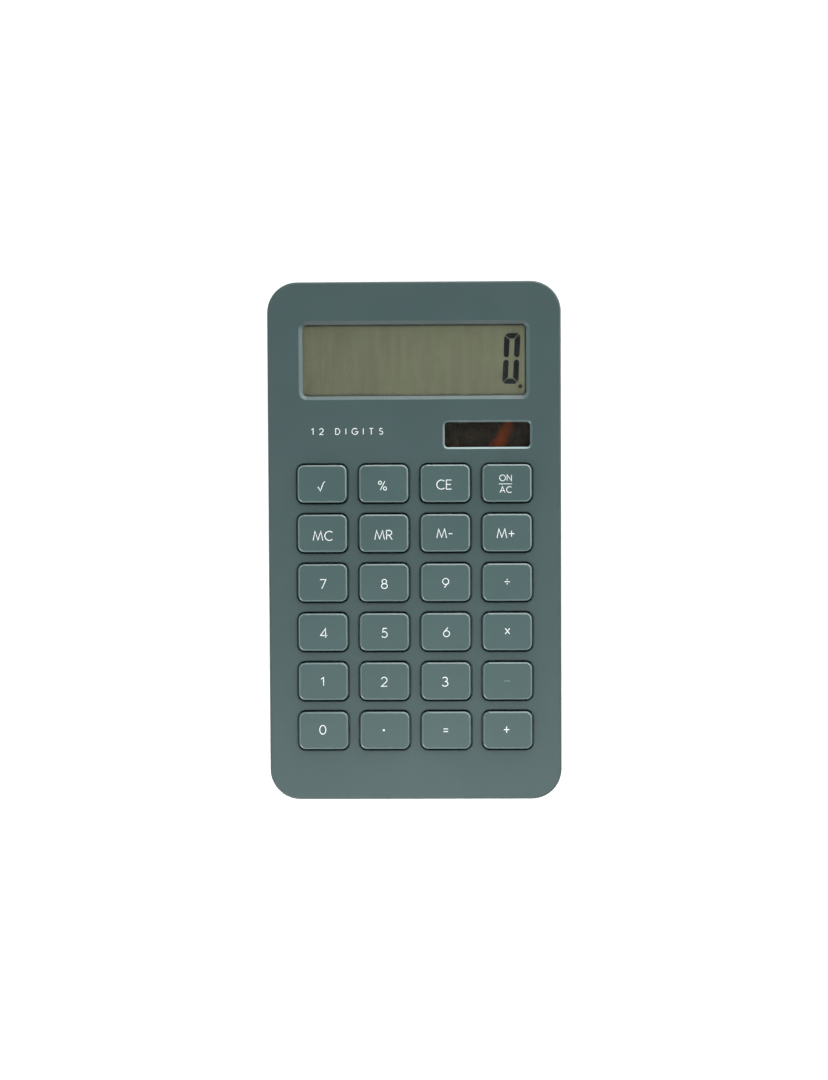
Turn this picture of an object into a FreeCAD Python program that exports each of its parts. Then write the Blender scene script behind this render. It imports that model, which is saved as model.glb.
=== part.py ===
"""A slim dual-power desk calculator, as an assembly of separate pieces, in millimetres.

Frame: +X across the keys to the right, +Y from the bottom key row towards the display, +Z out of the
keys. The origin is under the middle of the case, on the surface that the four feet stand on.
"""
import FreeCAD, Part
import math
import os

V = FreeCAD.Vector
OUT = "parts"

# ---- Case ----
CASE_W = 100.0
CASE_L = 177.0
CORNER_R = 10.3
Z_BACK = 0.8            # outer face of the rear cover, one foot height above the table
Z_FACE = 10.0           # outer face of the top panel
Z_SEAM = 4.4            # parting plane between the two covers
WALL = 1.6              # side walls, top panel and rear floor
FACE_EDGE_R = 0.8
BACK_EDGE_R = 1.4
SEAM_CHAMFER = 0.2
SKIRT = 0.8             # part of the wall that stays outside the seam lip
LIP_H = 1.0
SLIDE_GAP = 0.05        # gap between faces that slide or drop into each other
Z_FLOOR = Z_BACK + WALL
Z_CEILING = Z_FACE - WALL
Z_WINDOW_SEAT = 9.0     # the panel is thinner over the two windows

# ---- Keys ----
KEY_PITCH_X = 21.0
KEY_PITCH_Y = 16.9
KEY_COLS = [KEY_PITCH_X * (i - 1.5) for i in range(4)]
TOP_ROW_Y = 19.9
KEY_ROWS = [TOP_ROW_Y - KEY_PITCH_Y * i for i in range(6)]
KEY_NAMES = [
    ["square_root", "percent", "clear_entry", "on_all_clear"],
    ["memory_clear", "memory_recall", "memory_minus", "memory_plus"],
    ["7", "8", "9", "divide"],
    ["4", "5", "6", "multiply"],
    ["1", "2", "3", "minus"],
    ["0", "decimal_point", "equals", "plus"],
]
KEY_W = 16.6
KEY_D = 12.7
KEY_CORNER_R = 2.1
KEY_GAP = 0.6           # between a key and its opening in the panel
KEY_RISE = 1.0          # how far a key stands out of the panel
KEY_CHAMFER_W, KEY_CHAMFER_DROP = 0.45, 0.36
KEY_TRAVEL = 1.2
KEY_SKIN = 1.1
KEY_WALL = 1.0
FLANGE_OUT = 0.9        # how far the retaining flange stands out from the key's side
FLANGE_H = 0.8
PLUNGER_R = 2.5
Z_KEY_TOP = Z_FACE + KEY_RISE
Z_FLANGE_TOP = Z_CEILING - SLIDE_GAP
OPENING_CHAMFER = 0.15

# ---- Circuit board and rubber dome sheet ----
BOARD_T = 1.0
Z_BOARD = 3.6           # underside of the board
Z_BOARD_TOP = Z_BOARD + BOARD_T
BOARD_HALF_W = 41.5
BOARD_Y0, BOARD_Y1 = -77.0, 51.0
SHEET_T = 0.7
Z_SHEET_TOP = Z_BOARD_TOP + SHEET_T
SHEET_HALF_W = 40.7
SHEET_Y0, SHEET_Y1 = -71.8, 27.3
DOME_FOOT_R = 4.7
DOME_NECK_R = 2.6
DOME_BOSS_R = 2.4
Z_DOME_TOP = 7.2
Z_DOME_NECK = 6.6
DOME_WALL = 0.5
PILL_R = 1.7
Z_PILL = Z_BOARD_TOP + KEY_TRAVEL      # underside of the contact pill, one travel above the board

# ---- Display ----
LCD_X, LCD_Y = 0.1, 61.85
LCD_OPEN_W, LCD_OPEN_D = 76.2, 24.3
LCD_OPEN_R = 1.5
LCD_BEVEL_W, LCD_BEVEL_DROP = 1.25, 0.9
LENS_W, LENS_D, LENS_T = 82.0, 30.8, 0.5
LENS_Y = 61.6
GLASS_W, GLASS_T = 81.0, 0.9
GLASS_Y0, GLASS_Y1 = 46.4, 76.6
LEDGE_D = 2.9           # strip of the front glass that carries the contacts
POLARISER_T = 0.2
REFLECTOR_T = 0.25
Z_LENS = Z_WINDOW_SEAT - LENS_T
Z_POLARISER = Z_LENS - SLIDE_GAP - POLARISER_T
Z_FRONT_GLASS = Z_POLARISER - GLASS_T
Z_REAR_GLASS = Z_FRONT_GLASS - GLASS_T
Z_REFLECTOR = Z_REAR_GLASS - REFLECTOR_T
TRAY_GAP = 0.2
TRAY_WALL = 1.0
Z_TRAY = 6.3

# ---- Solar cell ----
SOLAR_X, SOLAR_Y = 24.9, 36.43
SOLAR_OPEN_W, SOLAR_OPEN_D = 29.1, 8.5
SOLAR_OPEN_R = 1.2
SOLAR_BEVEL_W, SOLAR_BEVEL_DROP = 0.65, 0.5
SOLAR_LENS_W, SOLAR_LENS_D, SOLAR_LENS_T = 32.0, 11.0, 0.5
SOLAR_CELL_W, SOLAR_CELL_D, SOLAR_CELL_T = 31.4, 10.4, 1.1
Z_SOLAR_LENS = Z_WINDOW_SEAT - SOLAR_LENS_T
Z_SOLAR_CELL = Z_SOLAR_LENS - SLIDE_GAP - SOLAR_CELL_T
LEAD_R = 0.45

# ---- Battery compartment and its hinged door ----
CELL_X, CELL_Y = -20.0, 36.8
CELL_R, CELL_H = 5.8, 3.05
Z_CELL = 2.75
WELL_HALF_W = 7.0
WELL_Y0, WELL_Y1 = 30.4, 43.2
WELL_WALL = 2.0
Z_WELL_TOP = 5.9
DOOR_HALF_W = 7.85
DOOR_GAP = 0.15
DOOR_Y1 = 45.25
HINGE_Y = 29.4
HINGE_DROP = 1.0        # from the hinge axis down to the door's outer face
HINGE_PIN_R, HINGE_PIN_LEN = 0.5, 1.45
HINGE_CLEARANCE = 0.06
Z_HINGE = Z_BACK + HINGE_DROP

# ---- Fasteners and feet ----
CASE_SCREWS = [(sx * x, y) for x, y in ((43.0, 80.5), (45.2, 11.45), (43.0, -80.5)) for sx in (-1, 1)]
BOARD_SCREWS = [(sx * 21.0, y) for y in (11.45, -22.35, -56.15) for sx in (-1, 1)]
BOARD_SCREWS += [(0.0, -5.45), (0.0, -39.25), (-39.5, 43.6), (39.5, 43.6), (-36.0, -74.3), (36.0, -74.3)]
CASE_BOSS_R, BOARD_BOSS_R = 2.6, 1.8
LCD_BOSS_R = 1.5        # the two board bosses between the display and the solar cell are slimmer
CASE_SHANK_R, BOARD_SHANK_R = 0.95, 0.7
Z_BOSS_FOOT = 4.0       # where the top cover's case bosses meet the rear cover's standoffs
Z_CASE_HEAD_SEAT = 2.5
FOOT_R = 4.0
FOOT_X, FOOT_Y = 37.0, 71.0
FOOT_RECESS = 0.5


def rounded_wire(width, depth, radius, z, cx=0.0, cy=0.0):
    """The outline of a rounded rectangle, counter-clockwise from its lower right straight."""
    hw, hd = width / 2, depth / 2
    diagonal = radius * math.sqrt(0.5)
    edges = []
    corners = [(1, -1, -45), (1, 1, 45), (-1, 1, 135), (-1, -1, 225)]
    points = []
    for sx, sy, _ in corners:
        ox, oy = cx + sx * (hw - radius), cy + sy * (hd - radius)
        before = V(ox, oy + sy * radius, z) if sx == sy * -1 else V(ox + sx * radius, oy, z)
        after = V(ox + sx * radius, oy, z) if sx == sy * -1 else V(ox, oy + sy * radius, z)
        middle = V(ox + sx * diagonal, oy + sy * diagonal, z)
        points.append((before, middle, after))
    for i, (before, middle, after) in enumerate(points):
        edges.append(Part.Arc(before, middle, after).toShape())
        edges.append(Part.LineSegment(after, points[(i + 1) % 4][0]).toShape())
    return Part.Wire(edges)


def slab(width, depth, radius, z0, z1, cx=0.0, cy=0.0):
    """An upright prism with a rounded-rectangle outline."""
    face = Part.Face(rounded_wire(width, depth, radius, z0, cx, cy))
    return face.extrude(V(0, 0, z1 - z0))


def block(x0, x1, y0, y1, z0, z1):
    return Part.makeBox(x1 - x0, y1 - y0, z1 - z0, V(x0, y0, z0))


def disc(radius, z0, z1, x, y):
    return Part.makeCylinder(radius, z1 - z0, V(x, y, z0))


def revolved(profile, x, y):
    """A closed (radius, z) profile turned a full turn about the upright line through (x, y)."""
    points = [V(r, 0, z) for r, z in profile]
    solid = Part.Face(Part.makePolygon(points + points[:1])).revolve(V(), V(0, 0, 1), 360)
    solid.translate(V(x, y, 0))
    return solid


def level_edges(shape, z):
    """The edges that lie at height z."""
    return [e for e in shape.Edges if abs(e.BoundBox.ZMin - z) < 1e-4 and abs(e.BoundBox.ZMax - z) < 1e-4]


def flared_opening(width, depth, radius, bevel_w, bevel_drop, x, y):
    """A cutter for an opening in the top panel with a bevel around its outer edge."""
    z = Z_FACE - bevel_drop
    through = slab(width, depth, radius, Z_CEILING - 1, Z_FACE + 1, x, y)
    wide = rounded_wire(width + 2 * bevel_w, depth + 2 * bevel_w, radius + bevel_w, Z_FACE, x, y)
    bevel = Part.makeLoft([rounded_wire(width, depth, radius, z, x, y), wide], True, True)
    return through.fuse(bevel)


def seat(width, depth, x, y):
    """A cutter for the shallow pocket that a window sits in, on the inside of the top panel."""
    return block(x - width / 2, x + width / 2, y - depth / 2, y + depth / 2, Z_CEILING - 1, Z_WINDOW_SEAT)


def export(name, shape):
    """Writes one node as STEP, after a check that each of its pieces is a sound solid."""
    solids = shape.Solids
    assert solids and all(s.isValid() and s.Volume > 0 for s in solids), name
    whole = solids[0] if len(solids) == 1 else Part.makeCompound(solids)
    whole.exportStep(os.path.join(OUT, name + ".step"))
    box = whole.BoundBox
    print("%-26s solids %2d  volume %9.1f  z %.2f..%.2f" % (name, len(solids), whole.Volume, box.ZMin, box.ZMax))


# ---- Covers ----

def key_centres():
    for row, y in enumerate(KEY_ROWS):
        for col, x in enumerate(KEY_COLS):
            yield KEY_NAMES[row][col], x, y


def frame_ring(width, depth, wall, z0, z1, cx, cy):
    """A square-cornered rib that runs around a rectangle."""
    outer = block(cx - width / 2 - wall, cx + width / 2 + wall, cy - depth / 2 - wall, cy + depth / 2 + wall, z0, z1)
    return outer.cut(block(cx - width / 2, cx + width / 2, cy - depth / 2, cy + depth / 2, z0 - 1, z1))


def board_boss_radius(y):
    return LCD_BOSS_R if y > SHEET_Y1 else BOARD_BOSS_R


def top_cover():
    shell = slab(CASE_W, CASE_L, CORNER_R, Z_SEAM, Z_FACE)
    shell = shell.makeFillet(FACE_EDGE_R, level_edges(shell, Z_FACE))
    shell = shell.makeChamfer(SEAM_CHAMFER, level_edges(shell, Z_SEAM))
    shell = shell.cut(slab(CASE_W - 2 * WALL, CASE_L - 2 * WALL, CORNER_R - WALL, Z_SEAM - 1, Z_CEILING))
    rabbet_top = Z_SEAM + LIP_H + 2 * SLIDE_GAP
    shell = shell.cut(slab(CASE_W - 2 * SKIRT, CASE_L - 2 * SKIRT, CORNER_R - SKIRT, Z_SEAM - 1, rabbet_top))
    ribs = [frame_ring(LENS_W + 2 * TRAY_GAP, LENS_D + 2 * TRAY_GAP, TRAY_WALL, Z_TRAY, Z_CEILING, 0, LENS_Y)]
    ribs.append(frame_ring(SOLAR_LENS_W + TRAY_GAP, SOLAR_LENS_D + TRAY_GAP, 0.8,
                           Z_SOLAR_CELL + 0.3, Z_CEILING, SOLAR_X, SOLAR_Y))
    ribs += [disc(CASE_BOSS_R, Z_BOSS_FOOT, Z_CEILING, x, y) for x, y in CASE_SCREWS]
    ribs += [disc(board_boss_radius(y), Z_BOARD_TOP, Z_CEILING, x, y) for x, y in BOARD_SCREWS]
    shell = shell.multiFuse(ribs)
    cutters = [seat(LENS_W + 2 * TRAY_GAP, LENS_D + 2 * TRAY_GAP, 0, LENS_Y)]
    cutters.append(seat(SOLAR_LENS_W + TRAY_GAP, SOLAR_LENS_D + TRAY_GAP, SOLAR_X, SOLAR_Y))
    cutters += [disc(CASE_SHANK_R + 0.02, Z_BOSS_FOOT - 1, Z_CEILING - 0.4, x, y) for x, y in CASE_SCREWS]
    cutters += [disc(BOARD_SHANK_R + 0.02, Z_BOARD_TOP - 1, Z_CEILING - 0.6, x, y) for x, y in BOARD_SCREWS]
    opening_w, opening_d = KEY_W + 2 * KEY_GAP, KEY_D + 2 * KEY_GAP
    for _, x, y in key_centres():
        cutters.append(flared_opening(opening_w, opening_d, KEY_CORNER_R + KEY_GAP,
                                      OPENING_CHAMFER, OPENING_CHAMFER, x, y))
    cutters.append(flared_opening(LCD_OPEN_W, LCD_OPEN_D, LCD_OPEN_R, LCD_BEVEL_W, LCD_BEVEL_DROP, LCD_X, LCD_Y))
    cutters.append(flared_opening(SOLAR_OPEN_W, SOLAR_OPEN_D, SOLAR_OPEN_R, SOLAR_BEVEL_W, SOLAR_BEVEL_DROP,
                                  SOLAR_X, SOLAR_Y))
    return shell.cut(Part.makeCompound(cutters)).removeSplitter()


def battery_well():
    """The rear cover's walls around the button cell, the latch ledge and the two hinge cheeks."""
    outer_half = WELL_HALF_W + WELL_WALL
    hinge_wall_y = HINGE_Y - 1.8
    well = block(CELL_X - outer_half, CELL_X + outer_half, hinge_wall_y, WELL_Y1 + 1.4, Z_FLOOR, Z_WELL_TOP)
    ledge = block(CELL_X - outer_half, CELL_X + outer_half, WELL_Y1, DOOR_Y1 + 1.4, Z_FLOOR, Z_FLOOR + 1.0)
    cheek_out = DOOR_HALF_W + DOOR_GAP + 2.6
    cheeks = [block(min(a, b), max(a, b), hinge_wall_y + 0.4, HINGE_Y + 1.6, Z_FLOOR, Z_FLOOR + 1.0)
              for a, b in ((CELL_X + s * (outer_half - 1), CELL_X + s * cheek_out) for s in (-1, 1))]
    hollow = block(CELL_X - WELL_HALF_W, CELL_X + WELL_HALF_W, WELL_Y0, WELL_Y1, Z_BACK, Z_WELL_TOP + 1)
    return well.multiFuse([ledge] + cheeks), hollow


def door_cutters():
    """What the door and its hinge need cut out of the rear cover."""
    half = DOOR_HALF_W + DOOR_GAP
    opening = block(CELL_X - half, CELL_X + half, HINGE_Y - HINGE_DROP - DOOR_GAP, DOOR_Y1 + DOOR_GAP,
                    Z_BACK - 1, Z_FLOOR + SLIDE_GAP)
    sweep = Part.makeCylinder(HINGE_DROP + DOOR_GAP, 2 * half, V(CELL_X - half, HINGE_Y, Z_HINGE), V(1, 0, 0))
    bore_half = half + HINGE_PIN_LEN + 0.05
    bore = Part.makeCylinder(HINGE_PIN_R + HINGE_CLEARANCE, 2 * bore_half,
                             V(CELL_X - bore_half, HINGE_Y, Z_HINGE), V(1, 0, 0))
    scoop = Part.makeSphere(6.0, V(CELL_X, DOOR_Y1 + 0.95, Z_BACK - 4.9))
    return [opening, sweep, bore, scoop]


def rear_cover():
    pan = slab(CASE_W, CASE_L, CORNER_R, Z_BACK, Z_SEAM)
    pan = pan.makeFillet(BACK_EDGE_R, level_edges(pan, Z_BACK))
    pan = pan.makeChamfer(SEAM_CHAMFER, level_edges(pan, Z_SEAM))
    lip_inset = SKIRT + SLIDE_GAP
    lip = slab(CASE_W - 2 * lip_inset, CASE_L - 2 * lip_inset, CORNER_R - lip_inset, Z_SEAM - 1, Z_SEAM + LIP_H)
    cavity = slab(CASE_W - 2 * WALL, CASE_L - 2 * WALL, CORNER_R - WALL, Z_FLOOR, Z_SEAM + LIP_H + 1)
    pan = pan.fuse(lip).cut(cavity)
    well, hollow = battery_well()
    standoff_r = CASE_BOSS_R + 0.7
    added = [disc(standoff_r, Z_FLOOR, Z_BOSS_FOOT, x, y) for x, y in CASE_SCREWS]
    rib_top = Z_BOARD - SLIDE_GAP
    added += [block(x - 0.5, x + 0.5, -70.0, 25.0, Z_FLOOR, rib_top) for x in KEY_COLS]
    added += [block(KEY_COLS[0], KEY_COLS[-1], y - 0.5, y + 0.5, Z_FLOOR, rib_top) for y in KEY_ROWS[1::2]]
    pan = pan.multiFuse(added + [well])
    cutters = [hollow] + door_cutters()
    for x, y in CASE_SCREWS:
        cutters.append(disc(2.15, Z_BACK - 1, Z_CASE_HEAD_SEAT, x, y))
        cutters.append(disc(1.15, Z_BACK, Z_BOSS_FOOT + 1, x, y))
    cutters += [disc(FOOT_R + 0.1, Z_BACK - 1, Z_BACK + FOOT_RECESS, x, y) for _, x, y in foot_places()]
    return pan.cut(Part.makeCompound(cutters)).removeSplitter()


# ---- Keys and the rubber sheet under them ----

def key(x, y):
    z_flange = Z_FLANGE_TOP - FLANGE_H
    z_shoulder = Z_KEY_TOP - KEY_CHAMFER_DROP
    top = rounded_wire(KEY_W - 2 * KEY_CHAMFER_W, KEY_D - 2 * KEY_CHAMFER_W, KEY_CORNER_R - KEY_CHAMFER_W,
                       Z_KEY_TOP, x, y)
    bevel = Part.makeLoft([rounded_wire(KEY_W, KEY_D, KEY_CORNER_R, z_shoulder, x, y), top], True, True)
    cap = slab(KEY_W, KEY_D, KEY_CORNER_R, z_flange, z_shoulder, x, y).fuse(bevel)
    flange = slab(KEY_W + 2 * FLANGE_OUT, KEY_D + 2 * FLANGE_OUT, KEY_CORNER_R + FLANGE_OUT / 2,
                  z_flange, Z_FLANGE_TOP, x, y)
    z_inside = Z_KEY_TOP - KEY_SKIN
    pocket = slab(KEY_W - 2 * KEY_WALL, KEY_D - 2 * KEY_WALL, KEY_CORNER_R - KEY_WALL, z_flange - 1, z_inside, x, y)
    hollow = cap.fuse(flange).cut(pocket)
    plunger = disc(PLUNGER_R, Z_DOME_TOP + SLIDE_GAP, z_inside, x, y)
    z_rib = z_inside - 1.6
    ribs = [block(x - KEY_W / 2 + 0.5, x + KEY_W / 2 - 0.5, y - 0.4, y + 0.4, z_rib, z_inside),
            block(x - 0.4, x + 0.4, y - KEY_D / 2 + 0.5, y + KEY_D / 2 - 0.5, z_rib, z_inside)]
    return hollow.multiFuse([plunger] + ribs).removeSplitter()


def dome_sheet():
    """One silicone sheet: a hollow dome with a contact pill under every key."""
    width, depth = 2 * SHEET_HALF_W, SHEET_Y1 - SHEET_Y0
    sheet = slab(width, depth, 2.0, Z_BOARD_TOP, Z_SHEET_TOP, 0, (SHEET_Y0 + SHEET_Y1) / 2)
    outer = [(0, Z_BOARD_TOP), (DOME_FOOT_R, Z_BOARD_TOP), (DOME_FOOT_R, Z_SHEET_TOP), (DOME_NECK_R, Z_DOME_NECK),
             (DOME_BOSS_R, Z_DOME_NECK), (DOME_BOSS_R, Z_DOME_TOP), (0, Z_DOME_TOP)]
    inner = [(0, Z_BOARD_TOP - 1), (DOME_FOOT_R - DOME_WALL, Z_BOARD_TOP - 1),
             (DOME_FOOT_R - DOME_WALL, Z_SHEET_TOP - 0.1), (DOME_NECK_R - DOME_WALL, Z_DOME_NECK - 0.1),
             (PILL_R, Z_DOME_NECK - 0.1), (PILL_R, Z_PILL), (0, Z_PILL)]
    sheet = sheet.multiFuse([revolved(outer, x, y) for _, x, y in key_centres()])
    cutters = [revolved(inner, x, y) for _, x, y in key_centres()]
    cutters += [disc(BOARD_BOSS_R + 0.3, Z_BOARD_TOP - 1, Z_SHEET_TOP + 1, x, y)
                for x, y in BOARD_SCREWS if SHEET_Y0 < y < SHEET_Y1]
    return sheet.cut(Part.makeCompound(cutters))


# ---- Display stack, from the lens down to the contact strip ----

def display_pieces():
    glass_mid, glass_d = (GLASS_Y0 + GLASS_Y1) / 2, GLASS_Y1 - GLASS_Y0
    rear_y0 = GLASS_Y0 + LEDGE_D
    rear_mid, rear_d = (rear_y0 + GLASS_Y1) / 2, GLASS_Y1 - rear_y0
    lens = slab(LENS_W, LENS_D, 1.0, Z_LENS, Z_WINDOW_SEAT, 0, LENS_Y)
    yield "lcd_window", lens.makeFillet(0.12, level_edges(lens, Z_LENS))
    yield "lcd_front_polariser", slab(79.0, rear_d - 1.2, 0.3, Z_POLARISER, Z_LENS - SLIDE_GAP, 0, rear_mid)
    yield "lcd_front_glass", slab(GLASS_W, glass_d, 0.2, Z_FRONT_GLASS, Z_POLARISER, 0, glass_mid)
    yield "lcd_rear_glass", slab(GLASS_W, rear_d, 0.2, Z_REAR_GLASS, Z_FRONT_GLASS, 0, rear_mid)
    yield "lcd_reflector", slab(79.0, rear_d - 1.2, 0.3, Z_REFLECTOR, Z_REAR_GLASS, 0, rear_mid)
    zebra_y0 = GLASS_Y0 + 0.5
    yield "lcd_contact_strip", block(-36.0, 36.0, zebra_y0, zebra_y0 + 2.1, Z_BOARD_TOP, Z_FRONT_GLASS)
    yield "lcd_foam_pad", slab(60.0, 10.0, 1.0, Z_FLOOR, Z_REFLECTOR, 0, 66.0)


# ---- Solar cell and its two leads ----

def lead(x0, y, direction):
    """An insulated wire from under the solar cell down to the board: two straights and two tangent arcs."""
    radius = 3.0
    z_high, z_low = Z_SOLAR_CELL - LEAD_R, Z_BOARD_TOP + LEAD_R
    turn = math.acos(1 - (z_high - z_low) / (2 * radius))
    step = radius * math.sin(turn)
    run = 4.0

    def at(along, z):
        return V(x0 + direction * along, y, z)

    def on_arc(centre_along, centre_z, angle, side):
        return at(centre_along + radius * math.sin(angle), centre_z + side * radius * math.cos(angle))

    high_centre, low_centre = z_high - radius, z_low + radius
    middle = on_arc(run, high_centre, turn, 1)
    low_end = run + 2 * step
    path = Part.Wire([
        Part.LineSegment(at(0, z_high), at(run, z_high)).toShape(),
        Part.Arc(at(run, z_high), on_arc(run, high_centre, turn / 2, 1), middle).toShape(),
        Part.Arc(middle, on_arc(low_end, low_centre, -turn / 2, -1), at(low_end, z_low)).toShape(),
        Part.LineSegment(at(low_end, z_low), at(low_end + run, z_low)).toShape()])
    section = Part.Wire([Part.makeCircle(LEAD_R, at(0, z_high), V(direction, 0, 0))])
    tube = path.makePipeShell([section], True, False)
    print("lead length %.2f, volume over section times length %.4f, arc radius %.1f"
          % (path.Length, tube.Volume / (math.pi * LEAD_R ** 2 * path.Length), radius))
    return tube, at(low_end + run, Z_BOARD_TOP)


def solar_pieces():
    lens = slab(SOLAR_LENS_W, SOLAR_LENS_D, 0.6, Z_SOLAR_LENS, Z_WINDOW_SEAT, SOLAR_X, SOLAR_Y)
    yield "solar_window", lens.makeFillet(0.1, level_edges(lens, Z_SOLAR_LENS))
    yield "solar_cell", slab(SOLAR_CELL_W, SOLAR_CELL_D, 0.2, Z_SOLAR_CELL, Z_SOLAR_LENS - SLIDE_GAP,
                             SOLAR_X, SOLAR_Y)
    positive, positive_pad = lead(13.0, 33.6, -1)
    negative, negative_pad = lead(13.0, 39.2, -1)
    yield "solar_lead_positive", positive
    yield "solar_lead_negative", negative
    blob = [(0, Z_BOARD_TOP), (0.8, Z_BOARD_TOP), (0.7, Z_BOARD_TOP + 0.3), (0.35, Z_BOARD_TOP + 0.55),
            (0, Z_BOARD_TOP + 0.6)]
    joints = [revolved(blob, pad.x - 0.85, pad.y) for pad in (positive_pad, negative_pad)]
    yield "solder_joints", Part.makeCompound(joints)


# ---- Board ----

def main_board():
    depth = BOARD_Y1 - BOARD_Y0
    board = slab(2 * BOARD_HALF_W, depth, 1.5, Z_BOARD, Z_BOARD_TOP, 0, (BOARD_Y0 + BOARD_Y1) / 2)
    gap = 0.4
    outer_half = WELL_HALF_W + WELL_WALL + gap
    cutters = [block(CELL_X - outer_half, CELL_X + outer_half, HINGE_Y - 1.8 - gap, WELL_Y1 + 1.4 + gap,
                     Z_BOARD - 1, Z_BOARD_TOP + 1)]
    cutters += [disc(BOARD_SHANK_R + 0.1, Z_BOARD - 1, Z_BOARD_TOP + 1, x, y) for x, y in BOARD_SCREWS]
    return board.cut(Part.makeCompound(cutters))


def board_parts():
    """What is soldered or glued to the board's underside."""
    sphere_r, height, x, y = 14.0, 0.9, 21.0, 36.5
    cap = Part.makeSphere(sphere_r, V(x, y, Z_BOARD - height + sphere_r))
    yield "chip_encapsulation", cap.common(disc(8.0, Z_BOARD - height, Z_BOARD, x, y))
    yield "board_capacitors", Part.makeCompound(
        [block(cx - 1.6, cx + 1.6, cy - 0.8, cy + 0.8, Z_BOARD - 0.8, Z_BOARD)
         for cx, cy in ((5.0, 33.0), (5.0, 37.0), (33.0, 40.0))])
    yield "board_resistors", Part.makeCompound(
        [block(cx - 1.0, cx + 1.0, cy - 0.6, cy + 0.6, Z_BOARD - 0.5, Z_BOARD)
         for cx, cy in ((10.0, 42.0), (14.0, 44.0), (33.0, 33.0))])


# ---- Battery ----

def button_cell():
    can_h = CELL_H - 0.35
    profile = [(0, Z_CELL), (CELL_R - 0.3, Z_CELL), (CELL_R, Z_CELL + 0.3), (CELL_R, Z_CELL + can_h - 0.2),
               (CELL_R - 0.25, Z_CELL + can_h), (CELL_R - 0.9, Z_CELL + can_h), (CELL_R - 1.2, Z_CELL + CELL_H),
               (0, Z_CELL + CELL_H)]
    return revolved(profile, CELL_X, CELL_Y)


def strip(points, thickness, width):
    """A bent strip of sheet metal: a path in X and Z with rounded ends, as wide as stated along Y."""
    y0 = CELL_Y - width / 2
    path = Part.makePolygon([V(x, y0, z) for x, z in points])
    outline = path.makeOffset2D(thickness / 2, 0, False, False, False)
    return Part.Face(outline).extrude(V(0, width, 0))


def battery_contacts():
    t = 0.2
    z_pad = Z_BOARD_TOP + t / 2
    z_over = Z_WELL_TOP + 0.1 + t / 2
    z_touch = Z_CELL + CELL_H + t / 2 + 0.01
    left = CELL_X - WELL_HALF_W - WELL_WALL - 0.4
    right = CELL_X + WELL_HALF_W + WELL_WALL + 0.4
    yield "battery_spring_negative", strip(
        [(left - 3.6, z_pad), (left - 0.8, z_pad), (left - 0.2, z_over + 0.1), (CELL_X - 4, z_over + 0.1),
         (CELL_X, z_touch), (CELL_X + 2.5, z_touch + 0.2)], t, 4.0)
    side = CELL_X + CELL_R + t / 2 + 0.03
    yield "battery_contact_positive", strip(
        [(right + 3.6, z_pad), (right + 0.8, z_pad), (right + 0.2, z_over), (CELL_X + WELL_HALF_W - 0.2, z_over),
         (side + 0.35, z_over - 0.6), (side, 4.3), (side + 0.5, 3.2)], t, 3.0)


def battery_door():
    """A flush door with a round hinge edge, two hinge pins, grip grooves and a slotted latch tongue."""
    half, y1 = DOOR_HALF_W, DOOR_Y1
    z_in = Z_HINGE + 0.6
    back = HINGE_DROP * math.cos(math.asin(0.6 / HINGE_DROP))
    x0 = CELL_X - half
    round_edge = Part.Arc(V(x0, HINGE_Y, Z_BACK), V(x0, HINGE_Y - HINGE_DROP, Z_HINGE), V(x0, HINGE_Y - back, z_in))
    outline = Part.Wire([
        round_edge.toShape(),
        Part.LineSegment(V(x0, HINGE_Y - back, z_in), V(x0, y1, z_in)).toShape(),
        Part.LineSegment(V(x0, y1, z_in), V(x0, y1, Z_BACK)).toShape(),
        Part.LineSegment(V(x0, y1, Z_BACK), V(x0, HINGE_Y, Z_BACK)).toShape()])
    plate = Part.Face(outline).extrude(V(2 * half, 0, 0))
    upright = [e for e in plate.Edges if abs(e.BoundBox.YMin - y1) < 1e-4 and e.BoundBox.ZLength > 1.0
               and e.BoundBox.XLength < 1e-4]
    plate = plate.makeFillet(0.8, upright)
    pin = Part.makeCylinder(HINGE_PIN_R, 2 * (half + HINGE_PIN_LEN),
                            V(CELL_X - half - HINGE_PIN_LEN, HINGE_Y, Z_HINGE), V(1, 0, 0))
    nib = block(CELL_X - 2.0, CELL_X + 2.0, y1 - 1, y1 + DOOR_GAP - 0.04, Z_BACK + 0.9, Z_BACK + 1.3)
    door = plate.multiFuse([pin, nib])
    cutters = [block(CELL_X + s * 3.0 - 0.3, CELL_X + s * 3.0 + 0.3, y1 - 4.0, y1 + 1, Z_BACK - 1, z_in + 1)
               for s in (-1, 1)]
    cutters += [block(CELL_X - 3.5, CELL_X + 3.5, y, y + 0.7, Z_BACK - 1, Z_BACK + 0.35)
                for y in (36.6, 38.0, 39.4)]
    return door.cut(Part.makeCompound(cutters)).removeSplitter()


# ---- Fasteners and feet ----

def cross_recess(size, width, z0, z1, x, y):
    return block(x - size, x + size, y - width, y + width, z0, z1).fuse(
        block(x - width, x + width, y - size, y + size, z0, z1))


def screw(x, y, z_seat, head_r, head_h, shank_r, length):
    """A self-tapping pan-head screw that goes in upwards, its thread drawn as rings."""
    z_low = z_seat - head_h
    profile = [(0, z_low), (head_r - 0.35, z_low), (head_r, z_low + 0.35), (head_r, z_seat)]
    pitch, root_r = 0.6, shank_r - 0.2
    turns = int((length - 1.0) / pitch)
    for i in range(turns):
        z = z_seat + pitch * i
        profile += [(root_r, z), (root_r, z + pitch * 0.35), (shank_r, z + pitch * 0.7)]
    z_end = z_seat + pitch * turns
    profile += [(root_r, z_end), (root_r * 0.3, z_seat + length), (0, z_seat + length)]
    return revolved(profile, x, y).cut(cross_recess(head_r * 0.55, 0.22, z_low - 1, z_low + head_h * 0.6, x, y))


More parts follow.
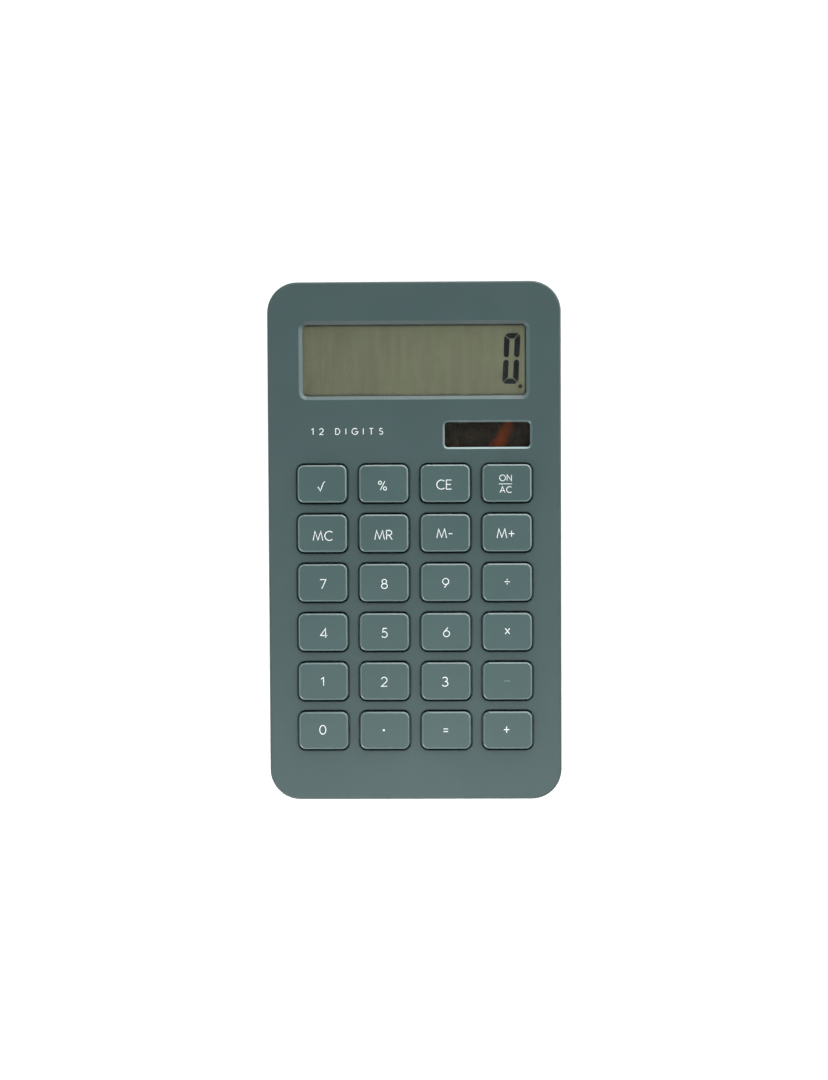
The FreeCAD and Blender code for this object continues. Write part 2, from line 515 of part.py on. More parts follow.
def foot_places():
    for end, sy in (("front", -1), ("back", 1)):
        for side, sx in (("left", -1), ("right", 1)):
            yield "foot_%s_%s" % (end, side), sx * FOOT_X, sy * FOOT_Y


def foot(x, y):
    pad = disc(FOOT_R, 0.0, Z_BACK + FOOT_RECESS, x, y)
    return pad.makeFillet(0.3, level_edges(pad, 0.0))


def main():
    os.makedirs(OUT, exist_ok=True)
    export("top_cover", top_cover())
    export("rear_cover", rear_cover())
    for name, x, y in key_centres():
        export("key_" + name, key(x, y))
    export("dome_sheet", dome_sheet())
    export("main_board", main_board())
    for pieces in (display_pieces(), solar_pieces(), board_parts(), battery_contacts()):
        for name, shape in pieces:
            export(name, shape)
    export("button_cell", button_cell())
    export("battery_door", battery_door())
    export("case_screws", Part.makeCompound(
        [screw(x, y, Z_CASE_HEAD_SEAT, 1.9, 1.1, CASE_SHANK_R, 5.2) for x, y in CASE_SCREWS]))
    export("board_screws", Part.makeCompound(
        [screw(x, y, Z_BOARD, 1.3, 0.7, BOARD_SHANK_R, 4.0) for x, y in BOARD_SCREWS]))
    for name, x, y in foot_places():
        export(name, foot(x, y))


main()
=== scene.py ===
import math

import bmesh
import bpy
from mathutils import Matrix, Vector


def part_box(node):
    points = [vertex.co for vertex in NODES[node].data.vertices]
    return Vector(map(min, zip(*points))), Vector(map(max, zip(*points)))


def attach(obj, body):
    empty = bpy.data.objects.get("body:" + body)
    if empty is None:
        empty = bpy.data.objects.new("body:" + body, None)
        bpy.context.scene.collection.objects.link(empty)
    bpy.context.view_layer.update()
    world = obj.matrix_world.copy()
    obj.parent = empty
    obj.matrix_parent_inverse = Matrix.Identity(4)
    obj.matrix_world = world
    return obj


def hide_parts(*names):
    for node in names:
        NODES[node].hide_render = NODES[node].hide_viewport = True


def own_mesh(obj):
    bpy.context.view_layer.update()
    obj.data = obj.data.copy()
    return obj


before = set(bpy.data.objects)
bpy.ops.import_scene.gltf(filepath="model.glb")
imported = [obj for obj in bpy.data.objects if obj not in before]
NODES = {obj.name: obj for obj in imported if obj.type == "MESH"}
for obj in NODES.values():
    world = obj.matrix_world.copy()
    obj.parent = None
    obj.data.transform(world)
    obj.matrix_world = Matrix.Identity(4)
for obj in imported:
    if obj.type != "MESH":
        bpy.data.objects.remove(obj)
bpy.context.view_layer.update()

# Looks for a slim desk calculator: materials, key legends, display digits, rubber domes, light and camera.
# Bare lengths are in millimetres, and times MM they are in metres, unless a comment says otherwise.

MM = 0.001


# ---- Camera: almost straight down ----

DISTANCE = 0.65                   # metres, from the camera to the top face
VIEW_HEIGHT = 0.36875             # metres, what the frame's long side covers at the top face
LEAN_BACK, LEAN_RIGHT = 2.2, 1.0  # degrees that the camera stands off the vertical, towards +Y and +X
ROLL = -0.28                      # degrees
AIM = Vector((-0.27, 0.58, 10.0)) * MM
SENSOR = 36.0

camera = bpy.data.objects.new("camera", bpy.data.cameras.new("camera"))
bpy.context.scene.collection.objects.link(camera)
bpy.context.scene.camera = camera
camera.data.sensor_width = SENSOR
camera.data.lens = SENSOR * DISTANCE / VIEW_HEIGHT
camera.data.dof.use_dof = False
backward = Vector((math.tan(math.radians(LEAN_RIGHT)), math.tan(math.radians(LEAN_BACK)), 1.0)).normalized()
camera.location = AIM + backward * DISTANCE
rightward = Vector((0, 1, 0)).cross(backward).normalized()
basis = Matrix((rightward, backward.cross(rightward), backward)).transposed()
camera.rotation_euler = (basis @ Matrix.Rotation(math.radians(ROLL), 3, "Z")).to_euler()


# ---- Material helpers ----

class Shader:
    """A material with one Principled shader, and short ways to add nodes to it."""

    def __init__(self, name):
        self.material = bpy.data.materials.new(name)
        self.material.use_nodes = True
        self.tree = self.material.node_tree
        self.main = next(n for n in self.tree.nodes if n.type == "BSDF_PRINCIPLED")
        self.output = next(n for n in self.tree.nodes if n.type == "OUTPUT_MATERIAL")
        where = self.tree.nodes.new("ShaderNodeTexCoord")
        self.coords = where.outputs["Object"]
        self.facing = where.outputs["Normal"]

    def set(self, **values):
        for name, value in values.items():
            self.main.inputs[name.replace("_", " ")].default_value = value

    def link(self, out, into):
        self.tree.links.new(out, into)

    def node(self, kind, **inputs):
        node = self.tree.nodes.new("ShaderNode" + kind)
        for name, value in inputs.items():
            socket = node.inputs[name.replace("_", " ")]
            if hasattr(value, "is_output"):
                self.link(value, socket)
            else:
                socket.default_value = value
        return node

    def stretched(self, scale):
        mapping = self.node("Mapping", Vector=self.coords, Scale=scale)
        return mapping.outputs["Vector"]

    def noise(self, size, detail=2.0, rough=0.5, vector=None):
        """Noise whose blobs are about this many millimetres across, on coordinates in metres."""
        node = self.node("TexNoise", Scale=1000.0 / size, Detail=detail, Roughness=rough,
                         Vector=vector or self.coords)
        return node.outputs["Fac"]

    def math(self, operation, a, b=0.0, clamp=False):
        node = self.tree.nodes.new("ShaderNodeMath")
        node.operation = operation
        node.use_clamp = clamp
        for socket, value in zip(node.inputs, (a, b)):
            if hasattr(value, "is_output"):
                self.link(value, socket)
            else:
                socket.default_value = value
        return node.outputs[0]

    def times(self, a, b):
        return self.math("MULTIPLY", a, b)

    def remap(self, value, low, high, to_low=0.0, to_high=1.0):
        node = self.node("MapRange", Value=value, From_Min=low, From_Max=high, To_Min=to_low, To_Max=to_high)
        return node.outputs["Result"]

    def place(self):
        """Where the shaded point lies, in metres."""
        return self.node("SeparateXYZ", Vector=self.coords).outputs

    def ramp(self, coordinate, start, end, low=0.0, high=1.0):
        """From low to high between two places."""
        return self.remap(coordinate, start * MM, end * MM, low, high)

    def mix(self, factor, a, b):
        node = self.tree.nodes.new("ShaderNodeMix")
        node.data_type = "RGBA"
        sockets = [s for s in node.inputs if s.type == "RGBA"]
        for socket, value in zip([node.inputs[0]] + sockets, (factor, a, b)):
            if hasattr(value, "is_output"):
                self.link(value, socket)
            else:
                socket.default_value = (*value, 1.0) if isinstance(value, tuple) else value
        return next(s for s in node.outputs if s.type == "RGBA")

    def colour(self, out):
        self.link(out, self.main.inputs["Base Color"])

    def roughness(self, out):
        self.link(out, self.main.inputs["Roughness"])

    def bump(self, height, depth, strength=1.0):
        """Bump of this many millimetres."""
        bump = self.node("Bump", Height=height, Strength=strength, Distance=depth * MM)
        self.link(bump.outputs["Normal"], self.main.inputs["Normal"])

    def edge(self, radius, low=0.02, high=0.25):
        """1 along the edges of the piece and 0 on its faces."""
        bevel = self.tree.nodes.new("ShaderNodeBevel")
        bevel.samples = 4
        bevel.inputs["Radius"].default_value = radius * MM
        flat = self.tree.nodes.new("ShaderNodeNewGeometry").outputs["Normal"]
        dot = self.tree.nodes.new("ShaderNodeVectorMath")
        dot.operation = "DOT_PRODUCT"
        self.link(bevel.outputs["Normal"], dot.inputs[0])
        self.link(flat, dot.inputs[1])
        bent = self.math("SUBTRACT", 1.0, dot.outputs["Value"])
        return self.remap(bent, low, high)

    def sloping(self):
        """1 on the bevels, which lie between level and upright, and 0 elsewhere."""
        split = self.node("SeparateXYZ", Vector=self.facing)
        upward = self.math("ABSOLUTE", split.outputs["Z"])
        return self.times(self.remap(upward, 0.97, 0.90), self.remap(upward, 0.35, 0.50))


def scaled(colour, factor):
    return tuple(c * factor for c in colour)


# Places on the top cover, from its middle.
OUTER_EDGE_X, UPPER_BEVEL_Y = 48.0, 73.7  # where the case's outer edge and the bevel above the display start
KEY_FIELD_Y = 27.0                        # just above the keys
DISPLAY_Y = 44.0, 46.0                    # below the display and above the solar cell
DISPLAY_SIDES_Y = 49.8, 50.2              # above the display's lower bevel
SOLAR_RIM_Y = 31.2, 31.4, 32.15, 32.3     # the bevel below the solar cell


def case_zones(s, base, slope, colour):
    """Tells the top cover's bevels apart and paints light and shade on them: painted shade on the unpolished
    slopes and round the key openings, a painted highlight on the bevel below the solar cell. Returns the
    colour, and how glossy the bevels are, which also sets their painted highlight.
    """
    place = s.place()
    bevel_gloss_and_highlight = slope
    for axis, start in (("X", OUTER_EDGE_X), ("Y", UPPER_BEVEL_Y)):
        distance = s.math("ABSOLUTE", place[axis])
        bevel_gloss_and_highlight = s.times(bevel_gloss_and_highlight, s.ramp(distance, start, start + 0.2, 1.0, 0.0))
    # Painted shade: the slopes left unpolished, on the outer edges and the bevel above the display, darkened
    # to 0.6 of the colour.
    shaded_slope = s.math("SUBTRACT", slope, bevel_gloss_and_highlight)
    base = s.mix(shaded_slope, base, scaled(colour, 0.60))
    # Painted shade round the key openings, darkened towards 0.35 of the colour.
    key_gap_shade = s.times(s.ramp(place["Y"], KEY_FIELD_Y, KEY_FIELD_Y - 1.0), s.edge(0.9, 0.005, 0.12))
    base = s.mix(s.times(key_gap_shade, 0.8), base, scaled(colour, 0.35))
    # How strong the bevels' gloss and painted highlight are: weaker round the display's lower bevel, stronger
    # at its sides.
    below, beside = s.ramp(place["Y"], *DISPLAY_Y, 1.0, 0.33), s.ramp(place["Y"], *DISPLAY_SIDES_Y, 0.0, 0.55)
    bevel_gloss_and_highlight = s.times(bevel_gloss_and_highlight, s.math("MAXIMUM", below, beside))
    # Painted highlight: the bevel below the solar cell, lifted to 4 times the colour.
    low, low_end, high_end, high = SOLAR_RIM_Y
    solar_rim_highlight = s.times(s.ramp(place["Y"], high, high_end), s.ramp(place["Y"], low, low_end))
    return s.mix(s.times(solar_rim_highlight, bevel_gloss_and_highlight), base, scaled(colour, 4.0)), bevel_gloss_and_highlight


def moulded_plastic(name, colour, rough, grain_size, grain_depth, edge_wear_and_light, zones=None):
    """Matte moulded plastic: eroded grain, faint clouding, smudges, edges paler from wear and from a painted
    highlight, and glossier bevels with a painted highlight.
    """
    s = Shader(name)
    cloud = s.noise(22.0, 3.0)
    base = s.mix(s.remap(cloud, 0.3, 0.7), scaled(colour, 0.96), scaled(colour, 1.04))
    fleck = s.remap(s.noise(grain_size * 1.4, 2.0), 0.35, 0.65)
    base = s.mix(s.times(fleck, 0.25), base, scaled(colour, 1.12))
    # Handled edges: paler partly from wear and partly as a painted highlight along the edges.
    wear_and_edge_light = s.times(s.edge(0.3), s.remap(s.noise(2.5, 3.0), 0.35, 0.6))
    base = s.mix(s.times(wear_and_edge_light, edge_wear_and_light), base, scaled(colour, 1.8))
    bevel_gloss_and_highlight = s.sloping()
    if zones:
        base, bevel_gloss_and_highlight = zones(s, base, bevel_gloss_and_highlight, colour)
    # Painted highlight on the bevels: their colour mixed up to halfway towards 1.5 times the plastic's.
    s.colour(s.mix(s.times(bevel_gloss_and_highlight, 0.5), base, scaled(colour, 1.5)))
    smudge = s.remap(s.noise(14.0, 4.0, 0.6), 0.35, 0.7, rough - 0.04, rough + 0.05)
    smudge = s.math("SUBTRACT", smudge, s.times(wear_and_edge_light, 0.1))
    s.roughness(s.times(smudge, s.remap(bevel_gloss_and_highlight, 0.0, 1.0, 1.0, 0.5)))
    s.bump(s.noise(grain_size, 3.0, 0.6), grain_depth)
    s.set(IOR=1.5)
    return s.material


def paint(objects, material):
    for o in objects:
        o.data.materials.clear()
        o.data.materials.append(material)


SHARP = 30.0            # degrees


def smooth(obj, degrees):
    """Smooth shading that keeps the edges sharper than this angle."""
    for face in obj.data.polygons:
        face.use_smooth = True
    obj.data.set_sharp_from_angle(angle=math.radians(degrees))


def mesh_object(name, bm, material, body):
    bmesh.ops.recalc_face_normals(bm, faces=bm.faces)
    mesh = bpy.data.meshes.new(name)
    bm.to_mesh(mesh)
    bm.free()
    mesh.materials.append(material)
    obj = bpy.data.objects.new(name, mesh)
    bpy.context.scene.collection.objects.link(obj)
    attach(obj, body)
    return obj


# ---- Printed strokes ----

INK_T, INK_STEP = 0.012, 0.0015     # a stroke's thickness, and how much more the next one stands up
DOT_T = 0.014


def arc(cx, cy, rx, ry, start, end, steps=14):
    """Points along an ellipse's arc, in glyph units."""
    angles = [math.radians(start + (end - start) * i / steps) for i in range(steps + 1)]
    return [(cx + rx * math.cos(a), cy + ry * math.sin(a)) for a in angles]


def ring(cx, cy, rx, ry, steps=28):
    return arc(cx, cy, rx, ry, 90, 450, steps)[:-1] + ["closed"]


# Each glyph is (width, strokes), drawn along the middle of its strokes in a box one unit high.
GLYPHS = {
    "0": (0.70, [ring(0.35, 0.5, 0.35, 0.5)]),
    "1": (0.34, [[(0.0, 0.80), (0.30, 1.0), (0.30, 0.0)]]),
    "2": (0.66, [arc(0.32, 0.69, 0.31, 0.31, 165, -38) + [(0.02, 0.0), (0.66, 0.0)]]),
    "3": (0.64, [arc(0.30, 0.75, 0.26, 0.25, 155, -90), arc(0.30, 0.27, 0.33, 0.27, 90, -155)]),
    "4": (0.76, [[(0.56, 0.0), (0.56, 1.0), (0.0, 0.24), (0.76, 0.24)]]),
    "5": (0.64, [[(0.60, 1.0), (0.19, 1.0), (0.11, 0.56)] + arc(0.30, 0.32, 0.33, 0.32, 118, -148)]),
    "6": (0.70, [ring(0.35, 0.33, 0.34, 0.33), [(0.50, 1.0), (0.045, 0.46)]]),
    "7": (0.64, [[(0.0, 1.0), (0.64, 1.0), (0.18, 0.0)]]),
    "8": (0.66, [ring(0.33, 0.76, 0.25, 0.24), ring(0.33, 0.27, 0.32, 0.27)]),
    "9": (0.70, [ring(0.35, 0.67, 0.34, 0.33), [(0.20, 0.0), (0.655, 0.54)]]),
    "A": (0.86, [[(0.0, 0.0), (0.43, 1.0), (0.86, 0.0)], [(0.15, 0.33), (0.71, 0.33)]]),
    "C": (0.82, [arc(0.50, 0.5, 0.50, 0.5, 48, 312, 22)]),
    "D": (0.72, [[(0.0, 0.0), (0.0, 1.0), (0.22, 1.0)] + arc(0.24, 0.5, 0.48, 0.5, 90, -90) + [(0.0, 0.0)]]),
    "E": (0.56, [[(0.56, 1.0), (0.0, 1.0), (0.0, 0.0), (0.56, 0.0)], [(0.0, 0.52), (0.50, 0.52)]]),
    "G": (0.88, [arc(0.50, 0.5, 0.50, 0.5, 48, 355, 24) + [(0.56, 0.456)]]),
    "I": (0.0, [[(0.0, 0.0), (0.0, 1.0)]]),
    "M": (1.06, [[(0.0, 0.0), (0.20, 1.0), (0.53, 0.08), (0.86, 1.0), (1.06, 0.0)]]),
    "N": (0.74, [[(0.0, 0.0), (0.0, 1.0), (0.74, 0.0), (0.74, 1.0)]]),
    "O": (1.0, [ring(0.5, 0.5, 0.5, 0.5)]),
    "R": (0.62, [[(0.0, 0.0), (0.0, 1.0), (0.30, 1.0)] + arc(0.30, 0.75, 0.27, 0.25, 90, -90) + [(0.0, 0.5)],
                 [(0.26, 0.5), (0.62, 0.0)]]),
    "S": (0.58, [arc(0.29, 0.76, 0.25, 0.24, 35, 250) + arc(0.29, 0.27, 0.29, 0.27, 75, -150)]),
    "T": (0.66, [[(0.0, 1.0), (0.66, 1.0)], [(0.33, 1.0), (0.33, 0.0)]]),
    "+": (0.62, [[(0.0, 0.47), (0.62, 0.47)], [(0.31, 0.14), (0.31, 0.80)]]),
    "-": (0.42, [[(0.0, 0.47), (0.42, 0.47)]]),
    " ": (0.0, []),
}


def prism(bm, outline, z0, z1):
    """A closed prism over a simple outline."""
    low = [bm.verts.new((x * MM, y * MM, z0 * MM)) for x, y in outline]
    high = [bm.verts.new((x * MM, y * MM, z1 * MM)) for x, y in outline]
    bm.faces.new(list(reversed(low)))
    bm.faces.new(high)
    for i in range(len(outline)):
        j = (i + 1) % len(outline)
        bm.faces.new((low[i], low[j], high[j], high[i]))


def ribbon(bm, points, half, z0, z1):
    """A closed, flat band along a line: mitred at its corners, cut square at open ends."""
    closed = points[-1] == "closed"
    line = [Vector(p) for p in (points[:-1] if closed else points)]
    count = len(line)
    sides = []
    for i, p in enumerate(line):
        before = line[i - 1] if closed or i > 0 else None
        after = line[(i + 1) % count] if closed or i < count - 1 else None
        into = (p - before).normalized() if before is not None else (after - p).normalized()
        out = (after - p).normalized() if after is not None else into
        n_in, n_out = Vector((-into.y, into.x)), Vector((-out.y, out.x))
        mitre = (n_in + n_out).normalized()
        reach = min(half / max(mitre.dot(n_in), 0.2), half * 2.4)
        sides.append((p + mitre * reach, p - mitre * reach))
    rows = []
    for left, right in sides:
        ends = (left, z0), (left, z1), (right, z1), (right, z0)
        rows.append([bm.verts.new((v.x * MM, v.y * MM, z * MM)) for v, z in ends])
    for i in range(count if closed else count - 1):
        a, b = rows[i], rows[(i + 1) % count]
        for k in range(4):
            m = (k + 1) % 4
            bm.faces.new((a[k], a[m], b[m], b[k]))
    if not closed:
        bm.faces.new(rows[0])
        bm.faces.new(list(reversed(rows[-1])))


def word_width(text, height, stroke, gap):
    unit = height - stroke
    widths = [GLYPHS[c][0] * unit + stroke for c in text]
    return sum(widths) + gap * (len(text) - 1)


def write(bm, text, cx, cy, height, stroke, gap, z):
    """Prints text centred on (cx, cy), each stroke a hair higher than the last, so that none share a face."""
    unit = height - stroke
    x = cx - word_width(text, height, stroke, gap) / 2 + stroke / 2
    y = cy - unit / 2
    layer = 0
    for character in text:
        width, strokes = GLYPHS[character]
        for points in strokes:
            placed = [p if p == "closed" else (x + p[0] * unit, y + p[1] * unit) for p in points]
            ribbon(bm, placed, stroke / 2, z, z + INK_T + INK_STEP * layer)
            layer += 1
        x += width * unit + stroke + gap


def round_dot(bm, cx, cy, radius, z0, z1, sides=24):
    turns = [2 * math.pi * i / sides for i in range(sides)]
    prism(bm, [(cx + radius * math.cos(a), cy + radius * math.sin(a)) for a in turns], z0, z1)


def draw_lines(bm, lines, cx, cy, stroke, z):
    for layer, points in enumerate(lines):
        placed = [p if p == "closed" else (cx + p[0], cy + p[1]) for p in points]
        ribbon(bm, placed, stroke / 2, z, z + INK_T + INK_STEP * layer)


# ---- Case and keys ----

SLATE = (0.0567, 0.097, 0.098)
KEY_SLATE = (0.0635, 0.1125, 0.1118)
case_plastic = moulded_plastic("case_plastic_matte", SLATE, 0.52, 0.35, 0.012, 0.2, case_zones)
key_plastic = moulded_plastic("key_plastic_satin", KEY_SLATE, 0.46, 0.30, 0.008, 0.35)
KEY_NODES = [n for n in NODES if n.startswith("key_")]
COVER_NODES = ["top_cover", "rear_cover", "battery_door"]
paint([NODES[n] for n in COVER_NODES], case_plastic)
paint([NODES[n] for n in KEY_NODES], key_plastic)
for node in COVER_NODES + KEY_NODES:
    smooth(NODES[node], SHARP)


def ink(name, colour, rub):
    """Pad-printed ink, thin enough to break up where fingers rub it."""
    s = Shader(name)
    thin = s.times(s.remap(s.noise(0.5, 4.0, 0.65), 0.5, 0.72), rub)
    s.colour(s.mix(thin, colour, KEY_SLATE))
    s.roughness(s.remap(s.noise(0.8, 2.0), 0.3, 0.7, 0.38, 0.55))
    s.bump(s.noise(0.15, 2.0), 0.003)
    return s.material


white_ink = ink("legend_ink", (0.90, 0.96, 0.96), 0.20)
faded_ink = ink("legend_ink_worn", (0.20, 0.28, 0.27), 0.7)

LEGEND_H, STROKE, LETTER_GAP = 3.4, 0.30, 0.42
SYMBOL_STROKE = 0.28
SMALL_H, SMALL_STROKE, SMALL_GAP = 2.25, 0.24, 0.30     # the two words on the on key
# Each key's legend: text, height, and its offset from the middle of the key.
TEXT_LEGENDS = {
    "key_clear_entry": ("CE", LEGEND_H, -0.4, -0.45), "key_memory_clear": ("MC", LEGEND_H, 0.1, -0.85),
    "key_memory_recall": ("MR", LEGEND_H, -0.15, -0.65), "key_memory_minus": ("M-", LEGEND_H, -0.3, -0.2),
    "key_memory_plus": ("M+", LEGEND_H, -0.5, -0.25), "key_7": ("7", LEGEND_H, 0.1, -0.45),
    "key_8": ("8", LEGEND_H, 0.05, -0.45), "key_9": ("9", LEGEND_H, 0.0, -0.2),
    "key_4": ("4", LEGEND_H, 0.3, -0.3), "key_5": ("5", LEGEND_H, 0.0, -0.3),
    "key_6": ("6", LEGEND_H, 0.2, -0.1), "key_1": ("1", 3.1, -0.3, -0.05),
    "key_2": ("2", LEGEND_H, -0.15, -0.15), "key_3": ("3", LEGEND_H, -0.35, -0.2),
    "key_0": ("0", 3.3, -0.3, 0.3),
}


def key_middle(node):
    low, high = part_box(node)
    centre = (low + high) / 2 / MM
    return centre.x, centre.y, high.z / MM


def plus_lines(reach_x, reach_y):
    return [[(-reach_x, 0.0), (reach_x, 0.0)], [(0.0, -reach_y), (0.0, reach_y)]]


# Each symbol: its lines, their stroke, and its offset from the middle of the key.
SYMBOLS = {
    "key_square_root": ([[(-1.2, -0.2), (-0.4, -1.55), (0.75, 1.35), (1.25, 1.5)],
                         [(-1.2, -0.3), (-0.45, -1.4)]], SYMBOL_STROKE, -0.2, -0.8),
    "key_percent": ([ring(-0.85, 0.98, 0.52, 0.56), ring(0.85, -0.98, 0.52, 0.56),
                     [(-0.75, -1.5), (0.8, 1.5)]], SYMBOL_STROKE, -0.4, -0.7),
    "key_on_all_clear": ([[(-2.25, 0.0), (2.25, 0.0)]], 0.22, -0.5, -0.3),
    "key_divide": ([[(-0.88, 0.0), (0.88, 0.0)]], SYMBOL_STROKE, -0.05, 0.15),
    "key_multiply": ([[(-0.75, -0.95), (0.75, 0.95)], [(-0.75, 0.95), (0.75, -0.95)]], 0.32, 0.0, 0.15),
    "key_minus": ([[(-1.05, 0.0), (1.05, 0.0)]], STROKE, -0.15, 0.0),
    "key_plus": (plus_lines(0.95, 1.05), 0.33, -0.4, 0.2),
    "key_equals": ([[(-0.80, 0.46), (0.80, 0.46)], [(-0.80, -0.46), (0.80, -0.46)]], 0.33, -0.2, 0.05),
}


def symbol_legend(bm, node, x, y, z):
    if node == "key_on_all_clear":
        write(bm, "ON", x - 0.5, y + 1.75, SMALL_H, SMALL_STROKE, SMALL_GAP, z)
        write(bm, "AC", x - 0.45, y - 2.25, SMALL_H, SMALL_STROKE, SMALL_GAP, z)
    if node in SYMBOLS:
        lines, stroke, dx, dy = SYMBOLS[node]
        draw_lines(bm, lines, x + dx, y + dy, stroke, z)
    if node == "key_divide":
        for dy in (0.87, -0.57):
            round_dot(bm, x - 0.05, y + dy, 0.23, z, z + DOT_T)
    elif node == "key_decimal_point":
        round_dot(bm, x - 0.4, y + 0.1, 0.38, z, z + DOT_T)


for node in KEY_NODES:
    x, y, z = key_middle(node)
    bm = bmesh.new()
    if node in TEXT_LEGENDS:
        text, height, dx, dy = TEXT_LEGENDS[node]
        write(bm, text, x + dx, y + dy, height, STROKE, LETTER_GAP, z)
    else:
        symbol_legend(bm, node, x, y, z)
    ink_material = faded_ink if node == "key_minus" else white_ink
    mesh_object("legend_" + node[4:], bm, ink_material, node)

LABEL_X, LABEL_Y = -22.9, 37.7
LABEL_H, LABEL_STROKE, LABEL_GAP = 2.3, 0.27, 1.8
panel_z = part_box("top_cover")[1].z / MM
bm = bmesh.new()
write(bm, "12 DIGITS", LABEL_X, LABEL_Y, LABEL_H, LABEL_STROKE, LABEL_GAP, panel_z)
mesh_object("panel_label", bm, white_ink, "case")


# ---- Display ----

DIGIT_W, DIGIT_PITCH = 5.5, 6.13
LAST_DIGIT_X, DIGIT_Y = 30.0, 53.6          # the lower left corner of the rightmost digit
PLACES = 12
POINT_X, POINT_Y, POINT_R = 36.2, 52.8, 0.70    # the decimal point
SLANT = math.tan(math.radians(2.8))
SEGMENT_T, OFF_SEGMENT_T = 0.02, 0.01
FILM_TOP, FILM_RIGHT = 74.0, 38.2           # where the panel's opening ends
lcd_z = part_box("lcd_front_polariser")[1].z / MM
lcd_low, lcd_high = (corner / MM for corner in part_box("lcd_window"))


def mirrored(points):
    return [(DIGIT_W - px, py) for px, py in reversed(points)]


# The segments of one digit, from its lower left corner.
UPPER_LEFT = [(0.0, 15.7), (0.12, 16.1), (0.30, 16.35), (1.88, 15.05), (1.88, 9.75), (1.65, 9.3),
              (1.20, 9.05), (0.65, 9.1), (0.25, 9.4), (0.05, 9.85)]
UPPER_RIGHT = [(3.62, 9.85), (3.85, 9.4), (4.30, 9.1), (4.75, 9.05), (5.22, 9.3), (5.46, 9.8),
               (5.50, 15.2), (5.45, 15.9), (5.27, 16.5), (4.95, 16.95), (3.62, 15.15)]
TOP = [(0.40, 16.55), (0.75, 16.95), (1.25, 17.2), (2.0, 17.3), (4.45, 17.3), (4.72, 17.18),
       (3.42, 15.48), (1.98, 15.38)]
MIDDLE = [(0.85, 8.65), (1.80, 7.85), (3.70, 7.85), (4.65, 8.65), (3.70, 9.45), (1.80, 9.45)]
LOWER_LEFT = [(0.0, 1.2), (0.15, 0.95), (0.35, 0.85), (1.88, 2.2), (1.90, 7.5), (1.65, 8.0),
              (1.20, 8.22), (0.65, 8.2), (0.22, 7.9), (0.05, 7.4)]
BOTTOM = [(0.50, 0.68), (0.72, 0.3), (1.2, 0.05), (4.3, 0.05), (4.78, 0.3), (5.0, 0.68), (3.65, 1.85),
          (1.85, 1.85)]
ZERO = [UPPER_LEFT, UPPER_RIGHT, TOP, LOWER_LEFT, mirrored(LOWER_LEFT), BOTTOM]


def segment(bm, outline, place, thickness):
    """One segment of a digit. Place 0 is the rightmost digit."""
    left = LAST_DIGIT_X - DIGIT_PITCH * place
    slanted = [(left + px + (py * SLANT), DIGIT_Y + py) for px, py in outline]
    prism(bm, slanted, lcd_z, lcd_z + thickness)


def segment_material():
    s = Shader("display_segment")
    s.colour(s.mix(s.remap(s.noise(1.2, 3.0), 0.3, 0.7), (0.0015, 0.003, 0.004), (0.004, 0.006, 0.008)))
    s.roughness(s.remap(s.noise(0.4, 2.0), 0.3, 0.7, 0.30, 0.42))
    s.bump(s.noise(0.3, 2.0), 0.002)
    return s.material


def display_film(name, tone):
    """Grey-green polariser, paler to the right, with faint streaks; a painted shadow line along its top and
    right edges, and painted light lifting the film beside it.
    """
    s = Shader(name)
    place = s.place()
    rightness = s.ramp(place["X"], lcd_low.x, lcd_high.x)
    base = s.mix(rightness, (0.0900, 0.0940, 0.0560), (0.1280, 0.1410, 0.0860))
    base = s.mix(s.remap(s.noise(16.0, 2.0), 0.35, 0.65, 0.0, 0.35), base, (0.0960, 0.1020, 0.0600))
    streak = s.noise(1.4, 3.0, 0.6, s.stretched((1.0, 0.05, 1.0)))
    base = s.mix(s.times(s.remap(streak, 0.40, 0.62), 0.50), base, (0.1250, 0.1360, 0.0840))
    stain = s.noise(2.6, 3.0, 0.7, s.stretched((1.0, 0.12, 1.0)))
    base = s.mix(s.times(s.remap(stain, 0.42, 0.62), 0.40), base, (0.0860, 0.0820, 0.0560))
    to_top = s.math("SUBTRACT", FILM_TOP * MM, place["Y"])
    to_right = s.math("SUBTRACT", FILM_RIGHT * MM, place["X"])
    inward = s.math("MINIMUM", to_top, to_right)
    # Painted light: the film lifted towards a paler tone within 3 mm of its top and right edges, where the
    # opening shades it.
    base = s.mix(s.ramp(inward, 0.0, 3.0, 0.55, 0.0), base, (0.1500, 0.1580, 0.1000))
    # Painted shadow: a thin dark line along the top and right edges, where the opening's walls shade the
    # film.
    base = s.mix(s.ramp(inward, 0.45, 0.65, 0.9, 0.0), base, (0.014, 0.016, 0.013))
    s.colour(s.mix(1.0 - tone, base, (0.045, 0.050, 0.036)))
    s.roughness(s.remap(s.noise(0.5, 3.0), 0.3, 0.7, 0.42, 0.55))
    s.bump(s.noise(0.2, 2.0), 0.003)
    return s.material


bm = bmesh.new()
for outline in ZERO:
    segment(bm, outline, 0, SEGMENT_T)
round_dot(bm, POINT_X, POINT_Y, POINT_R, lcd_z, lcd_z + SEGMENT_T)
mesh_object("display_digit", bm, segment_material(), "case")

bm = bmesh.new()
for place in range(1, PLACES):
    for outline in ZERO + [MIDDLE]:
        segment(bm, outline, place, OFF_SEGMENT_T)
segment(bm, MIDDLE, 0, OFF_SEGMENT_T)
mesh_object("display_digits_off", bm, display_film("display_segment_off", 0.94), "case")


